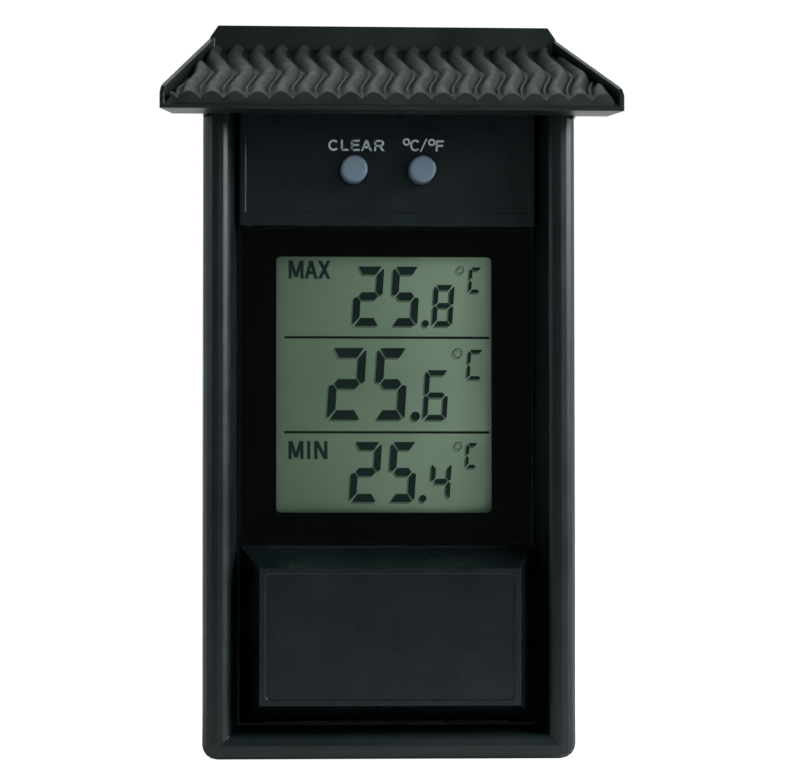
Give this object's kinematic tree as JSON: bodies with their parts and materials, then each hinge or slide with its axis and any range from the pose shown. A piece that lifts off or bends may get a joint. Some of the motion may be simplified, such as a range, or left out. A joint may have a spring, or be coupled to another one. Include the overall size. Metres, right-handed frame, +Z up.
{
  "type": "maximum minimum thermometer",
  "caption": "Upright wall thermometer for a greenhouse: tiled roof over a framed case with push buttons, a digital display and a battery door behind.",
  "frame": {"origin": "centre of the base, midway between the wall plane and the eave's front edge", "axes": "+Z up the case, +X to the viewer's right, -Y out of the front toward the viewer; the wall plane is at the +Y end"},
  "size_m": [0.0822, 0.033, 0.1348],
  "materials": {
    "body": "satin black moulding",
    "tile": "satin dark grey green moulding",
    "button": "satin blue grey",
    "lens": "clear and polished",
    "mask": "black print",
    "lcd_film": "olive film",
    "lcd_glass": "clear",
    "inner_plastic": "plain cream",
    "board": "green solder mask",
    "rubber": "soft pink",
    "black_parts": "satin black",
    "steel": "nickel plated",
    "cell": "shrink sleeve, plain blue",
    "wire_red": "insulation",
    "wire_black": "insulation"
  },
  "bodies": {
    "case": {"front_frame": "body", "rear_cover": "body", "roof_frame": "body", "button_panel": "body", "lower_panel": "body", "roof_tiles": "tile", "display_lens": "lens", "window_mask": "mask", "lcd_front_polarizer": "lcd_film", "lcd_reflector": "lcd_film", "lcd_front_glass": "lcd_glass", "lcd_rear_glass": "lcd_glass", "lcd_holder": "inner_plastic", "capacitor_1": "inner_plastic", "capacitor_2": "inner_plastic", "main_board": "board", "zebra_strip_lower": "rubber", "zebra_strip_upper": "rubber", "clear_switch_body": "black_parts", "unit_switch_body": "black_parts", "chip_blob": "black_parts", "thermistor": "black_parts", "resistor_1": "black_parts", "resistor_2": "black_parts", "resistor_3": "black_parts", "crystal": "steel", "positive_contact": "steel", "negative_contact": "steel", "contact_spring": "steel", "case_screw_1": "steel", "case_screw_2": "steel", "case_screw_3": "steel", "case_screw_4": "steel", "board_screw_1": "steel", "board_screw_2": "steel", "board_screw_3": "steel", "board_screw_4": "steel", "battery_cell": "cell", "battery_wire_red": "wire_red", "battery_wire_black": "wire_black"},
    "clear_button": {"clear_button": "button", "clear_switch_plunger": "inner_plastic"},
    "unit_button": {"unit_button": "button", "unit_switch_plunger": "inner_plastic"},
    "battery_door": {"battery_door": "body"}
  },
  "joints": [
    {"name": "clear_button_press", "type": "slide", "parent": "case", "child": "clear_button", "axis": [0, 1, 0], "range_m": [0, 0.0008], "stiffness_N_per_m": 900, "springref_m": -0.0002},
    {"name": "unit_button_press", "type": "slide", "parent": "case", "child": "unit_button", "axis": [0, 1, 0], "range_m": [0, 0.0008], "stiffness_N_per_m": 900, "springref_m": -0.0002},
    {"name": "battery_door_hinge", "type": "hinge", "parent": "case", "child": "battery_door", "pos_m": [0, 0.0152, 0.0138], "axis": [-1, 0, 0], "range_deg": [0, 80]}
  ]
}
